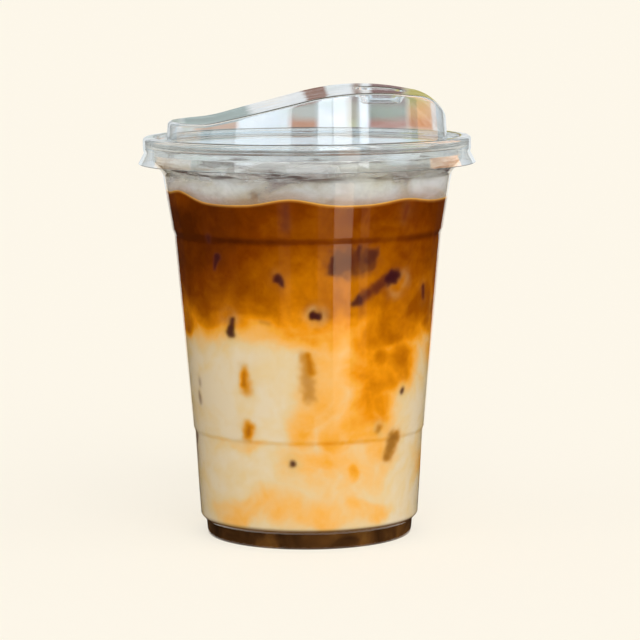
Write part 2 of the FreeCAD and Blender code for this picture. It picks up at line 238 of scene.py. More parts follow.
class Finish(Nodes):
    """One material."""

    def __init__(self, name):
        self.material = bpy.data.materials.new(name)
        self.material.use_nodes = True
        super().__init__(self.material.node_tree)
        self.place = self.node("ShaderNodeTexCoord").outputs["Object"]

    def attribute(self, name):
        made = self.node("ShaderNodeAttribute", {"attribute_name": name})
        return Number(self, made.outputs["Fac"])

    def axes(self):
        """The place's x, y and z as numbers."""
        parts = self.node("ShaderNodeSeparateXYZ", None, {0: self.place})
        return [Number(self, parts.outputs[axis]) for axis in "XYZ"]

    def scaled_place(self, *scale):
        """The place for a pattern that is drawn out where a scale is small, squeezed where large."""
        return self.node("ShaderNodeMapping", None, {"Vector": self.place, "Scale": scale}).outputs[0]

    def ramp(self, share, *stops):
        return self.node("ShaderNodeValToRGB", {"stops": stops}, {0: share}).outputs[0]

    def bump(self, strength, depth, height):
        """The lean of a surface that rises and falls with a height, by up to a depth."""
        return self.node("ShaderNodeBump", None,
                         {"Strength": strength, "Distance": depth, "Height": height}).outputs[0]

    def surface(self, values):
        return self.node("ShaderNodeBsdfPrincipled", None, values).outputs[0]

    def glow(self, tint, strength=1.0):
        return self.node("ShaderNodeEmission", None, {"Color": tint, "Strength": strength}).outputs[0]

    def lets_light_in(self, shader, tint):
        """A shader that is simply see-through, in a tint, to the rays that look for lamps."""
        through = self.node("ShaderNodeBsdfTransparent", None, {"Color": tint})
        path = self.node("ShaderNodeLightPath")
        mixed = self.node("ShaderNodeMixShader", None,
                          {0: path.outputs["Is Shadow Ray"], 1: shader, 2: through.outputs[0]})
        return mixed.outputs[0]

    def done(self, shader):
        self.node("ShaderNodeOutputMaterial", None, {"Surface": shader})
        return self.material


print("a middle grey is", round(colour(128, 128, 128)[0], 3), "in the units that nodes take")

# %% [markdown]
# Clear plastic is glass with a thin wall. Real glass shaders cast full shadows, and a drink
# behind one would stay dark, so the plastic turns transparent for the rays that come from lamps.
# Moulded plastic is never quite even: slow waves in its surface, a little stretched upward by
# the forming, bend the reflections. A Bump node gives those.

# %% Clear plastic
PLASTIC_IOR = 1.57  # how strongly the plastic bends light


def clear_plastic(name, tint, roughness, waviness):
    finish = Finish(name)
    waves = finish.cloud(finish.scaled_place(1, 1, 0.35), 60, detail=1.5)
    glass = finish.surface({"Base Color": tint, "Roughness": roughness, "IOR": PLASTIC_IOR,
                            "Transmission Weight": 1.0,
                            "Normal": finish.bump(waviness, 0.2 * MM, waves)})
    return finish.done(finish.lets_light_in(glass, tint))


CUP_PLASTIC = clear_plastic("clear_cup", (0.985, 0.99, 0.99, 1), 0.02, 0.25)
LID_PLASTIC = clear_plastic("clear_lid", (0.90, 0.945, 0.98, 1), 0.02, 0.6)
print("finishes", CUP_PLASTIC.name, LID_PLASTIC.name)

# %% [markdown]
# The cup is one thin wall, drawn as a line and spun about its axis. The line runs along the
# outside: the raised base, the foot that the cup stands on, a rounded shoulder, a fine score
# line, the ledge that keeps stacked cups apart, the flared neck, and last the rim, which curls
# outward and under. A Solidify modifier then gives the wall its thickness on the inside.

# %% The cup's outside line
CUP_WALL = 0.45
PANEL_RISE = 2.0
FOOT_RADIUS = 31.1
FOOT_FLARE = 0.4
FOOT_HEIGHT = 4.5
FOOT_RING = 3.4
SHOULDER = Vector((33.15, 6.2))
SCORE_LINE = Vector((34.85, 31.9))
SCORE_STEP = Vector((0.45, 1.3))
LEDGE = Vector((40.45, 91.9))
LEDGE_STEP = Vector((0.6, 1.7))
NECK = Vector((43.75, 110.4))
SEAT = Vector((46.8, 113.8))
CURL = 1.4
CURL_CENTRE = Vector((RIM_RADIUS, RIM_TOP)) / MM - Vector((CURL, CURL))

WALL_LINE = flat_line(
    (FOOT_RADIUS - 0.2, 0, 0),
    (FOOT_RADIUS, 0, 0.1),
    (FOOT_RADIUS + FOOT_FLARE, FOOT_HEIGHT, 0.9),
    (*SHOULDER, 1.5),
    (*SCORE_LINE, 0.7),
    (*(SCORE_LINE + SCORE_STEP), 0.7),
    (*LEDGE, 0.9),
    (*(LEDGE + LEDGE_STEP), 0.9),
    (*NECK, 2.5),
    (*SEAT, 2.5),
    (SEAT.x, CURL_CENTRE.y - 1, 0),
)
BASE_LINE = flat_line(
    (0, PANEL_RISE, 0),
    (FOOT_RADIUS - FOOT_RING - 1.8, PANEL_RISE, 1.2),
    (FOOT_RADIUS - FOOT_RING, 0, 0.6),
    (FOOT_RADIUS, 0, 0.7),
    (FOOT_RADIUS + FOOT_FLARE / 2, FOOT_HEIGHT / 2, 0),
)


def curl_line(steps=14, first=180, last=-150):
    """The rolled rim, over the top, outward and under."""
    reach = CURL - CUP_WALL
    turns = [math.radians(first + (last - first) * s / (steps - 1)) for s in range(steps)]
    return [(CURL_CENTRE + Vector((math.cos(t), math.sin(t))) * reach) * MM for t in turns]


def wall_radius(height):
    """How far out the cup's outside is at a height, all in metres."""
    for low, high in zip(WALL_LINE, WALL_LINE[1:]):
        if low.y <= height < high.y:
            return low.x + (high.x - low.x) * (height - low.y) / (high.y - low.y)
    return WALL_LINE[-1].x if height > WALL_LINE[-1].y else FOOT_RADIUS * MM


print("the cup's line has", len(BASE_LINE) + len(WALL_LINE), "points")

# %% [markdown]
# A turned shape needs no more than its line and the Spin operator. The line could also be turned
# by a Screw modifier, but an operator leaves a plain mesh, whose doubles at the axis are merged
# and whose faces are turned outward before the wall gets its thickness.

# %% Spin the cup
def spin_line(line):
    """The skin that a line of (radius, height) sweeps about the axis, facing away from its room."""
    bm = bmesh.new()
    verts = [bm.verts.new((p.x, 0, p.y)) for p in line]
    edges = [bm.edges.new(pair) for pair in zip(verts, verts[1:])]
    bmesh.ops.spin(bm, geom=verts + edges, cent=(0, 0, 0), axis=(0, 0, 1), angle=math.tau,
                   steps=AROUND, use_merge=True)
    bmesh.ops.remove_doubles(bm, verts=bm.verts, dist=0.01 * MM)
    bmesh.ops.recalc_face_normals(bm, faces=bm.faces)
    return bm


def face_out(bm, radius_over):
    """Turn a skin so that its faces beyond a radius look away from the axis."""
    outer = [f for f in bm.faces if f.calc_center_median().to_2d().length > radius_over]
    lean = sum(f.normal.to_2d().dot(f.calc_center_median().to_2d()) * f.calc_area() for f in outer)
    if lean < 0:
        bmesh.ops.reverse_faces(bm, faces=bm.faces)


CUT_EDGE = 0.1  # how near a cut edge its support point lies
SIDE_LINE = [p for p in WALL_LINE if p.y > FOOT_HEIGHT * MM * 0.6]
cup_skin = spin_line(BASE_LINE + SIDE_LINE + with_edge(curl_line(), CUT_EDGE * MM))
face_out(cup_skin, (FOOT_RADIUS + FOOT_FLARE + 0.5) * MM)
cup = make_piece("cup_shell", cup_skin, "cup", CUP_PLASTIC)
wall_up(cup, CUP_WALL * MM)

# %% [markdown]
# The lid is one sheet of plastic, but not a turned shape: its dome is a pillbox whose top follows
# a side outline, low and level at the back, rising to a crown, then falling over a round brow to
# the spout. A well is pressed into the crown, with the hole to drink from in its floor.
# One could cut such a lid out of solids. Here it is grown like the real sheet, ring by ring:
# a loop of points starts at the hole's edge, and each extrusion places the next loop, across the
# well's floor, up its wall, over the top, down the dome, round the sealing channel and the bead,
# and out along the skirt. All faces are then even, which clear plastic needs to look smooth.

# %% The lid's outlines
LID_WALL = 0.4
RING_TOP = RIM_TOP / MM + 0.5
CHANNEL_FLOOR = RING_TOP - 2.1
PLUG_RADIUS = 46.2
BEAD_RADIUS = RIM_RADIUS / MM + 0.6
BEAD_BOTTOM = RING_TOP - 3.6
GROOVE = Vector((BEAD_RADIUS - 0.3, BEAD_BOTTOM - 1.2))
SKIRT = Vector((LID_HIGH.x, LID_LOW.z)) / MM
DOME_RADIUS = 42.5
DOME_DRAFT = math.radians(4)
DOME_ROUND = 1.2
PLATEAU = Vector((-30.2, RING_TOP + 4.8))
CROWN_OFFSET = 14
CROWN_SLOPE = math.radians(13.8)
BROW_SLOPE = math.radians(8.5)
BROW_REACH = 0.3
CROWN = Vector((CROWN_OFFSET, PLATEAU.y + (CROWN_OFFSET - PLATEAU.x) * math.tan(CROWN_SLOPE)))
BROW_EDGE = DOME_RADIUS + BROW_REACH
BROW = Vector((BROW_EDGE, CROWN.y - (BROW_EDGE - CROWN.x) * math.tan(BROW_SLOPE)))
WELL_OFFSET = 22.3
WELL_HALF = Vector((5.75, 11))
HOLE_HALF = Vector((3.5, 7.5))
WELL_DRAFT = math.radians(26)
WELL_ROUND = 0.9
WELL_FLOOR = CROWN.y - (WELL_OFFSET - CROWN.x) * math.tan(BROW_SLOPE) - 4.2

TOP_LINE = rounded([
    (Vector((-2 * DOME_RADIUS, PLATEAU.y)), 0),
    (PLATEAU, 35),
    (CROWN, 78),
    (BROW, 11.5),
    (Vector((BROW_EDGE, CHANNEL_FLOOR)), 0),
], steps=60)


def top_height(x):
    """The height of the dome's top, from its side outline."""
    for left, right in zip(TOP_LINE, TOP_LINE[1:]):
        if left.x <= x < right.x:
            return left.y + (right.y - left.y) * (x - left.x) / (right.x - left.x)
    return TOP_LINE[-1].y


def dome_edge(turn):
    """Where the dome's drafted wall meets its top, in the direction of a turn."""
    low, high = CHANNEL_FLOOR, CROWN.y + 1
    for _ in range(40):
        middle = (low + high) / 2
        radius = dome_radius(middle)
        if top_height(radius * math.cos(turn)) > middle:
            low = middle
        else:
            high = middle
    return Vector((radius * math.cos(turn), radius * math.sin(turn), middle))


def dome_radius(height):
    return DOME_RADIUS - (height - CHANNEL_FLOOR + LID_WALL) * math.tan(DOME_DRAFT)


print("the crown is", round(CROWN.y, 1), "mm up, the well's floor", round(WELL_FLOOR, 1), "mm")

# %% [markdown]
# In every direction from the well the sheet has the same parts in the same order, only longer or
# shorter, so one function draws its section for any turn. Corners that are rounded with the same
# number of points keep all sections alike, and that is what lets them be joined into rings.

# %% The lid's section in each direction
TOP_STEPS = 22
WELL_SQUARENESS = 4.5  # the power of the well's rounded outline, where 2 is an ellipse
RING_ROUNDING = (0.8, 0.8, 0.9, 1.0, 0.6, 0.6)
LIP_ROOM, BROW_ROOM = 1.0, 2.2  # what the top's even steps leave free at their two ends


def well_point(half, turn):
    """A point of a rounded outline about the well's middle, and the way out of it."""
    c, s = math.cos(turn), math.sin(turn)
    n = WELL_SQUARENESS
    reach = (abs(c / half.x) ** n + abs(s / half.y) ** n) ** (-1 / n)
    away = Vector((math.copysign(abs(c / half.x) ** (n - 1) / half.x, c),
                   math.copysign(abs(s / half.y) ** (n - 1) / half.y, s))).normalized()
    return Vector((WELL_OFFSET + reach * c, reach * s)), away


def lid_section(turn):
    """The lid's sheet from the hole's edge to the skirt's, as points in space, in millimetres."""
    hole, _ = well_point(HOLE_HALF, turn)
    floor, away = well_point(WELL_HALF, turn)
    lip = floor
    for _ in range(3):
        lip = floor + away * ((top_height(lip.x) - WELL_FLOOR) * math.tan(WELL_DRAFT))
    edge = dome_edge(turn)
    span = edge.to_2d() - lip
    near, far = LIP_ROOM / span.length, 1 - BROW_ROOM / span.length
    corners = [(hole.to_3d() + Vector((0, 0, WELL_FLOOR)), 0),
               (floor.to_3d() + Vector((0, 0, WELL_FLOOR)), WELL_ROUND),
               (lip.to_3d() + Vector((0, 0, top_height(lip.x))), WELL_ROUND)]
    for s in range(TOP_STEPS):
        place = lip + span * (near + (far - near) * s / (TOP_STEPS - 1))
        corners.append((place.to_3d() + Vector((0, 0, top_height(place.x))), 0))
    corners.append((edge, DOME_ROUND))
    ring = [(dome_radius(CHANNEL_FLOOR), CHANNEL_FLOOR), (PLUG_RADIUS - LID_WALL, CHANNEL_FLOOR),
            (PLUG_RADIUS - LID_WALL, RING_TOP), (BEAD_RADIUS, RING_TOP), (BEAD_RADIUS, BEAD_BOTTOM),
            GROOVE, SKIRT]
    for (radius, height), rounding in zip(ring, (*RING_ROUNDING, 0)):
        corners.append((Vector((radius * math.cos(turn), radius * math.sin(turn), height)), rounding))
    sheet = with_edge(rounded(corners), CUT_EDGE)
    return with_edge(sheet[::-1], CUT_EDGE)[::-1]


print("a section of the lid has", len(lid_section(0)), "points")

# %% [markdown]
# The sections are joined by growing a loop of vertices: each extrusion makes the next ring of
# faces, and its new vertices are then put on the next point of their own sections.

# %% Grow the lid ring by ring
def grow(sections):
    """A skin whose loops of points start at each section's first point and end at its last."""
    bm = bmesh.new()
    place = bm.verts.layers.int.new("place")
    loop = bmesh.ops.create_circle(bm, cap_ends=False, segments=len(sections), radius=1)["verts"]
    for i, vert in enumerate(loop):
        vert[place] = i
        vert.co = sections[i][0]
    edges = bm.edges[:]
    for step in range(1, len(sections[0])):
        grown = bmesh.ops.extrude_edge_only(bm, edges=edges)["geom"]
        fresh = {part for part in grown if isinstance(part, bmesh.types.BMVert)}
        for vert in fresh:
            vert.co = sections[vert[place]][step]
        edges = [part for part in grown
                 if isinstance(part, bmesh.types.BMEdge) and fresh.issuperset(part.verts)]
    bmesh.ops.recalc_face_normals(bm, faces=bm.faces)
    return bm


LID_AROUND = 240
lid_sections = [[point * MM for point in lid_section(math.tau * i / LID_AROUND)]
                for i in range(LID_AROUND)]
lid_skin = grow(lid_sections)
face_out(lid_skin, (BEAD_RADIUS - 0.1) * MM)
lid = make_piece("lid_shell", lid_skin, "lid", LID_PLASTIC)
wall_up(lid, LID_WALL * MM)

# %% [markdown]
# The drink fills the cup to its wall. If its skin only touched the wall, a film of air would show
# between them, so it reaches a little way into the plastic. Its top swells up the wall where the
# ice presses against it, and the boundary between milk and coffee slants and waves, as in the
# CAD model. Those two heights are written again here as functions.

# %% The drink's levels
DRINK_BITE = 0.2  # how far the drink reaches into the wall
SYRUP_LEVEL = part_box("syrup")[1].z / MM
DRINK_LEVEL = 103.2
SWELL_WIDTH = 9
SWELLS = ((-174, 2.5), (-152, 3.2), (-97, 2.1), (-47, 1.4), (24, 1.0), (82, 1.9), (138, 1.3))
MILK_LEVEL = 54
MILK_SLANT = 8.5
MILK_WAVE = 1.8
MILK_WAVE_LENGTH = 70


def drink_top(x, y):
    """The drink's height in millimetres over a point."""
    height = DRINK_LEVEL
    for angle, rise in SWELLS:
        crest = Vector((math.cos(math.radians(angle)), math.sin(math.radians(angle)))) * NECK.x
        height += rise * math.exp(-((math.hypot(x - crest.x, y - crest.y) / SWELL_WIDTH) ** 2))
    return height


def milk_top(x, y):
    turn = math.tau / MILK_WAVE_LENGTH
    wave = math.sin(turn * x + 0.6) * math.cos(turn * y)
    return MILK_LEVEL - MILK_SLANT * x / SCORE_LINE.x + MILK_WAVE * wave


def syrup_top(x, y):
    return SYRUP_LEVEL


def skin_radius(height):
    """The drink's radius at a height, in millimetres."""
    return wall_radius(height * MM) / MM - CUP_WALL + DRINK_BITE


print("drink", DRINK_LEVEL, "mm up, milk", MILK_LEVEL, "mm, syrup", round(SYRUP_LEVEL, 2), "mm")

# %% [markdown]
# Coffee poured over milk sinks in plumes, and where it has sunk the drink turns from cream over
# amber to dark brown. All of that is one amount, the share of coffee at each point of the skin.
# It comes from the height above the boundary, from pools where coffee has sunk lower, and from
# slow swirls that push these about, and painted shade along the plastic's steps is added to it as
# more coffee. A shader could make such clouds from noise alone, but then they would fall anywhere.
# The amount is worked out here for each vertex and stored as an attribute, so that the pools lie
# where they should and the milk and the coffee match exactly.

# %% How much coffee is where
# The share of coffee at millimetres above the boundary
LAYERS = ((-9, 0.02), (-4, 0.14), (0, 0.36), (2, 0.48), (6, 0.60), (11, 0.70), (20, 0.80), (32, 0.88),
          (44, 0.96))
BOUNDARY = 64.5
BOUNDARY_RISE = (-72, 20, 2.0)  # degrees round from the front, half width in degrees, how far up
# Where the coffee is thinner or thicker: degrees round from the front, half width in degrees, the
# change, and the heights between which it sets in
THINNER = ((14, 38, -0.08, 66, 78), (-62, 32, 0.13, 68, 77))
THIN_TOP = (-66, 16, -0.2, 104, 3.5)  # the same for one pale patch, with its height and half height
# Pools where coffee has sunk: degrees round from the front to the right, height, half width and
# half height in millimetres, and the share of coffee in the pool
POOLS = (
    (44, 68, 17, 11, 0.66), (46, 56, 10, 10, 0.60), (27, 56, 9, 12, 0.50), (30, 43, 7.5, 9, 0.56),
    (34, 50, 8, 8, 0.54), (25, 65, 7, 6, 0.46), (8, 48, 9, 18, 0.27), (14, 34, 6, 7, 0.35),
    (25, 36, 7, 6, 0.46), (9, 27, 9, 5, 0.32), (3, 66, 11, 7, 0.44), (22, 22, 3, 4, 0.38),
    (-2, 38, 4.5, 8, 0.38), (17, 23, 17, 11, 0.23), (34, 31, 5, 5, 0.28), (-34, 30, 10, 2.5, 0.20),
    (-40, 11, 12, 4, 0.28), (-20, 12, 13, 4.5, 0.27), (6, 10, 14, 5, 0.26), (32, 12, 9, 4.5, 0.30),
    (-44, 69.5, 17, 4.5, 0.63), (-70, 68.5, 10, 5, 0.62), (36, 58, 6, 6, 0.62), (62, 72, 11, 9, 0.74),
    (104, 60, 20, 10, 0.52), (122, 48, 8, 12, 0.46), (118, 34, 6, 9, 0.28), (96, 20, 18, 6, 0.30),
    (150, 13, 20, 5, 0.30), (166, 62, 14, 9, 0.50), (172, 46, 8, 14, 0.26), (178, 26, 16, 6, 0.28),
    (-150, 60, 20, 11, 0.56), (-138, 46, 8, 12, 0.44), (-128, 34, 7, 8, 0.26), (-124, 16, 20, 6, 0.30),
    (-100, 62, 12, 7, 0.45),
)
SEED = 3
SWIRL = (20, 5.0)  # the size of the slow swirls and how far they push, in millimetres
EDDY = (8, 2.2)
POOL_EDGE = 4.0  # how steeply a pool ends
FEATHER_SIZE = 7  # the size of the fine feathering, in millimetres
FEATHER = (0.04, 0.07, 0.08)  # its strength everywhere, more in milk, and more where half mixed
MILKY_BELOW = 0.45
# Each of the plastic's steps shows as a darker line of painted shade, added to the drink as more
# coffee: height, darkness, half height, and how uneven it is
STEP_SHADE_LINES = ((LEDGE.y + 0.6, 0.12, 1.0, 0.6), (SCORE_LINE.y + 0.6, 0.08, 0.6, 0.0))
RIM_HIGHLIGHT = 0.45  # half the height of the painted highlight, a thin bright line along the drink's top edge
HIGHLIGHT_LESS_COFFEE, HIGHLIGHT_PALER = 0.55, 0.55  # how much less coffee and how much paler the painted highlight makes it there
noise.seed_set(SEED)


def bell(x):
    return math.exp(-x * x)


def around(angle):
    """An angle in degrees brought to between -180 and 180."""
    return (angle + 180) % 360 - 180


def step_between(x, points):
    """The value at x on a line through given points."""
    if x <= points[0][0]:
        return points[0][1]
    for (x0, y0), (x1, y1) in zip(points, points[1:]):
        if x < x1:
            return y0 + (y1 - y0) * (x - x0) / (x1 - x0)
    return points[-1][1]


def coffee_share(point):
    """How much coffee there is at a point of the skin, given in millimetres, from 0 to 1, with painted
    shade along the plastic's steps added as more coffee.
    """
    push = noise.noise_vector(point / SWIRL[0]) * SWIRL[1]
    push += noise.noise_vector(point / EDDY[0] + Vector((9, 4, 1))) * EDDY[1]
    radius = max(point.to_2d().length, 1)
    angle = math.degrees(math.atan2(point.y, point.x)) + 90
    angle += math.degrees((push.x + push.y) * 0.7 / radius)
    height = point.z + push.z
    a, wide, rise = BOUNDARY_RISE
    share = step_between(height - BOUNDARY - rise * bell(around(angle - a) / wide), LAYERS)
    for a, wide, change, low, high in THINNER:
        share += change * bell(around(angle - a) / wide) * min(1, max(0, (height - low) / (high - low)))
    a, wide, change, z, tall = THIN_TOP
    share += change * bell(around(angle - a) / wide) * bell((point.z - z) / tall)
    for a, z, wide, tall, level in POOLS:
        across = math.radians(around(angle - a)) * radius / wide
        if abs(across) < 2.6:
            far = math.hypot(across, (height - z) / tall)
            share = max(share, level / (1 + far ** POOL_EDGE))
    milky = 1 - min(1, share / MILKY_BELOW)
    everywhere, in_milk, half_mixed = FEATHER
    feather = noise.fractal(point / FEATHER_SIZE + push / 6, 0.9, 2.1, 4)
    share += feather * (everywhere + in_milk * milky + half_mixed * bell((share - 0.5) / 0.2))
    # painted shade along the plastic's steps, added as more coffee
    for z, darkness, tall, uneven in STEP_SHADE_LINES:
        share += darkness * bell((point.z - z) / tall) * (1 + uneven * noise.noise(point / 15))
    return share


for z in (20, 50, 80, 100):
    print("share of coffee at", z, "mm:", round(coffee_share(Vector((0, -skin_radius(z), z))), 2))

# %% [markdown]
# Ice that presses against the wall from inside shows through the drink as dark spots and bars of
# painted shade, where the dim inside is seen through clear ice, some with a painted highlight as a
# pale halo round them. Each is a short fat line on the skin, listed one by one where the front is,
# and set by a seeded random draw round the back.

# %% Where ice touches the wall
# Degrees round from the front, height, half length, half width, how much wider its upper end is,
# lean in degrees from upright to the right, darkness of its painted shade, strength of the painted
# highlight that makes its pale halo, and the share of coffee seen through it (or None)
CONTACTS = [
    (-46.0, 92.6, 0.7, 0.9, 0.2, 10, 0.75, 0, None),
    (-42.9, 85.6, 2.0, 1.0, 0.5, 22, 0.90, 0, None),
    (-41.5, 87.4, 0.6, 0.6, 0.0, 80, 0.50, 0, None),
    (-11.6, 80.6, 1.3, 1.1, 0.5, -28, 0.94, 0.1, None),
    (-8.7, 100.0, 2.8, 1.3, -0.2, 0, 0.50, 0, None),
    (10.6, 85.6, 1.9, 1.3, 0.0, 4, 0.88, 0, None),
    (27.4, 87.5, 1.1, 2.2, 0.0, 35, 0.88, 0, None),
    (22.0, 88.8, 1.6, 1.1, 0.0, 0, 0.86, 0, None),
    (19.6, 86.6, 3.8, 4.2, 0.0, 86, 0.74, 0, None),
    (31.0, 78.6, 5.4, 1.6, 0.2, 58, 0.62, 0, 0.84),
    (21.4, 74.6, 1.0, 1.3, 0.2, 58, 0.90, 0, None),
    (38.8, 81.2, 1.3, 2.1, 0.1, 72, 0.97, 0, None),
    (43.0, 79.0, 1.8, 1.4, 0.0, 60, 0.0, 0.55, 0.66),
    (3.2, 70.8, 0.7, 1.3, 0.0, 104, 0.97, 0.85, None),
    (-36.3, 67.2, 2.1, 1.2, -0.4, 16, 0.95, 0.55, None),
    (-38.8, 68.6, 1.4, 0.8, 0.0, 16, 0.0, 0.6, None),
    (-19.4, 68.7, 1.2, 0.4, 0.0, 104, 0.40, 0, None),
    (62.0, 75.5, 1.5, 1.0, 0.2, -14, 0.85, 0.1, None),
    (75.0, 70.2, 1.3, 1.0, 0.0, 0, 0.60, 0.2, None),
    (43.3, 100.4, 1.6, 0.8, 0.2, 12, 0.40, 0.1, None),
    (-30.4, 51.5, 3.2, 1.5, -0.2, -4, 0.26, 0, 0.34),
    (-31.4, 51.2, 1.5, 0.9, 0.0, 0, 0.16, 0, 0.66),
    (-0.4, 52.5, 5.8, 1.9, 0.0, -4, 0.38, 0, 0.34),
    (0.6, 56.4, 2.6, 0.8, 0.0, -8, 0.30, 0, 0.56),
    (-63.0, 48.6, 0.6, 0.7, 0.0, 0, 0.50, 0.1, None),
    (-64.5, 44.0, 1.2, 0.8, -0.2, -10, 0.62, 0.2, None),
    (-30.9, 35.4, 1.5, 1.6, 0.2, 14, 0.30, 0, 0.36),
    (-30.0, 35.8, 0.9, 1.0, 0.0, 10, 0.16, 0, 0.68),
    (50.0, 46.6, 0.2, 0.9, 0.0, 40, 0.92, 0.7, None),
    (35.6, 35.9, 0.3, 0.9, 0.0, 20, 0.50, 0.8, None),
    (44.5, 29.8, 2.8, 2.1, 0.2, 22, 0.60, 0, 0.40),
    (-8.0, 26.4, 0.1, 0.9, 0.0, 0, 0.94, 0.7, None),
    (84.0, 32.0, 2.0, 1.2, 0.0, 10, 0.35, 0.2, None),
]
BACK_CONTACTS = 24
BACK_FROM, BACK_TO = 84, 282
draw = random.Random(11)
for _ in range(BACK_CONTACTS):
    CONTACTS.append((draw.uniform(BACK_FROM, BACK_TO), draw.uniform(24, 98), draw.uniform(0.4, 3.2),
                     draw.uniform(0.7, 1.4), draw.uniform(-0.3, 0.4), draw.uniform(-60, 60),
                     draw.uniform(0.3, 0.9), draw.choice((0, 0.2, 0.5)), draw.choice((None, None, 0.8))))
SOFT_EDGE = 0.55  # how softly a faint contact ends, in millimetres, while dark ones end crisply
# how far the painted highlight round a contact reaches, in millimetres
HIGHLIGHT_REACH = 1.9
FAR = 5  # what lies further from a contact's own outline doesn't feel it
WOBBLE = 0.4  # how uneven its outline is, beside its width


def contact_marks(point, share):
    """How dark with painted shade and how pale with painted highlight ice against the wall makes a
    point, and the coffee seen there.
    """
    radius = point.to_2d().length
    angle = math.degrees(math.atan2(point.y, point.x)) + 90
    dark, pale = 0.0, 0.0
    for a, z, length, width, taper, lean, darkness, highlight, coffee_seen in CONTACTS:
        across = math.radians(around(angle - a)) * radius
        up = point.z - z
        if max(abs(across), abs(up)) > length + width + FAR:
            continue
        c, s = math.cos(math.radians(lean)), math.sin(math.radians(lean))
        along = across * s + up * c
        beyond = max(abs(along) - length, 0)
        off = math.hypot(beyond, across * c - up * s) + WOBBLE * width * noise.noise(point / 1.8)
        off -= width * taper * max(-1, min(1, along / length))
        blur = SOFT_EDGE * (0.95 - 0.6 * darkness) + 0.1 * max(0, width - 1)
        inside = 1 / (1 + math.exp((off - width) / blur))
        # painted shade inside the mark, where the dim inside shows through the ice
        dark = max(dark, inside * darkness)
        # painted highlight as a pale halo round the mark
        glow = highlight * bell((off - width * 0.8) / HIGHLIGHT_REACH) * (0.6 + 0.9 * noise.noise(point / 2.8))
        pale = max(pale, glow * (1 - inside))
        if coffee_seen is not None:
            share += (coffee_seen - share) * inside
    return dark, pale, share


print(len(CONTACTS), "places where ice touches the wall")

# %% [markdown]
# The skins of milk and coffee are grown ring by ring, as the lid was: up the wall, then inward
# over the top to the middle. The steps are about half a millimetre, fine enough for the marks.
# Cutting a turned solid along the boundary would give the same outside, with uneven faces.

# %% Grow a layer of the drink
DRINK_AROUND = 440
DRINK_STEP = 0.6
STAIN_RISE = 1.1  # how far the syrup has stained the milk above it
STAIN_EDGE = 0.15
MARKS_WITHIN = 0.5  # how far in from the wall the marks of the ice still show
RIM_WITHIN = 1.2
SEEN_STEPS = 26  # steps from the wall to the middle, on the top that is seen from above
HIDDEN_STEPS = 3


def layer_sections(bottom, top, across_top):
    """Sections of a closed layer between two height functions, in millimetres."""
    sections, tallest = [], 0
    for i in range(DRINK_AROUND):
        turn = math.tau * i / DRINK_AROUND
        tallest = max(tallest, height_at_wall(top, turn) - height_at_wall(bottom, turn))
    steps = max(2, round(tallest / DRINK_STEP))
    for i in range(DRINK_AROUND):
        turn = math.tau * i / DRINK_AROUND
        low, high = height_at_wall(bottom, turn), height_at_wall(top, turn)
        section = inward(bottom, turn, low, HIDDEN_STEPS)[::-1]
        for s in range(steps + 1):
            height = low + (high - low) * s / steps
            section.append(on_skin(turn, height))
        sections.append(section + inward(top, turn, high, across_top))
    return sections


def on_skin(turn, height):
    radius = skin_radius(height)
    return Vector((radius * math.cos(turn), radius * math.sin(turn), height))


def height_at_wall(level, turn):
    height = level(0, 0)
    for _ in range(4):
        place = on_skin(turn, height)
        height = level(place.x, place.y)
    return height


def inward(level, turn, height, steps):
    """Points from just inside the wall to the middle, on a level."""
    edge = on_skin(turn, height)
    points = []
    for s in range(1, steps + 1):
        share = 1 - s / steps if s < steps else 0.002
        x, y = edge.x * share, edge.y * share
        points.append(Vector((x, y, level(x, y))))
    return points


def close_poles(bm):
    """Merge the last tiny rings at the axis."""
    bmesh.ops.remove_doubles(bm, verts=[v for v in bm.verts if v.co.to_2d().length < 0.2 * MM],
                             dist=0.3 * MM)
    bmesh.ops.recalc_face_normals(bm, faces=bm.faces)


def paint_layer(piece, top_highlight):
    """Store the share of coffee with its painted shade and highlight, the painted shade and highlight
    where ice touches the wall, and the syrup's stain on each vertex.
    """
    shares, darks, pales, stains = [], [], [], []
    for vert in piece.data.vertices:
        point = vert.co / MM
        share = coffee_share(point)
        dark, pale = 0, 0
        if near_wall(point, MARKS_WITHIN):
            dark, pale, share = contact_marks(point, share)
        if top_highlight and near_wall(point, RIM_WITHIN):
            # the painted highlight along the drink's top edge: less coffee and a pale tone
            line = bell((drink_top(point.x, point.y) - point.z) / RIM_HIGHLIGHT)
            share -= HIGHLIGHT_LESS_COFFEE * line
            pale = max(pale, HIGHLIGHT_PALER * line)
        shares.append(share)
        darks.append(dark)
        pales.append(pale)
        stains.append(1 / (1 + math.exp((point.z - SYRUP_LEVEL - STAIN_RISE) / STAIN_EDGE)))
    store(piece, coffee_share=shares, ice_dark=darks, ice_halo=pales, syrup_stain=stains)


def near_wall(point, within):
    return point.to_2d().length > skin_radius(point.z) - within


print("rings of", DRINK_AROUND, "points,", DRINK_STEP, "mm apart")

# %% [markdown]
# The finish of the drink reads those amounts. A colour ramp turns the share of coffee, with its
# painted shade and painted highlight, into the colours of a latte, finer clouds from the shader
# break up the ramp's edges, and the painted highlight and painted shade where ice touches the wall
# and the stain of the syrup are mixed in last. Yellow-brown shades easily turn olive or red,
# so the ramp has many stops. The drink has no gloss of its own, because it touches the plastic.

# %% Latte finish
LATTE = (
    (0.00, colour(226, 212, 186)),
    (0.10, colour(226, 205, 162)),
    (0.26, colour(236, 190, 112)),
    (0.38, colour(236, 176, 66)),
    (0.50, colour(230, 155, 18)),
    (0.62, colour(200, 124, 5)),
    (0.74, colour(164, 91, 2)),
    (0.86, colour(130, 60, 1)),
    (1.00, colour(90, 36, 1)),
)
FAINT_SHADE_THROUGH_ICE = colour(120, 62, 46)  # painted shade where ice shows faintly, and the next where it is clear
DEEP_SHADE_THROUGH_ICE = colour(58, 18, 28)
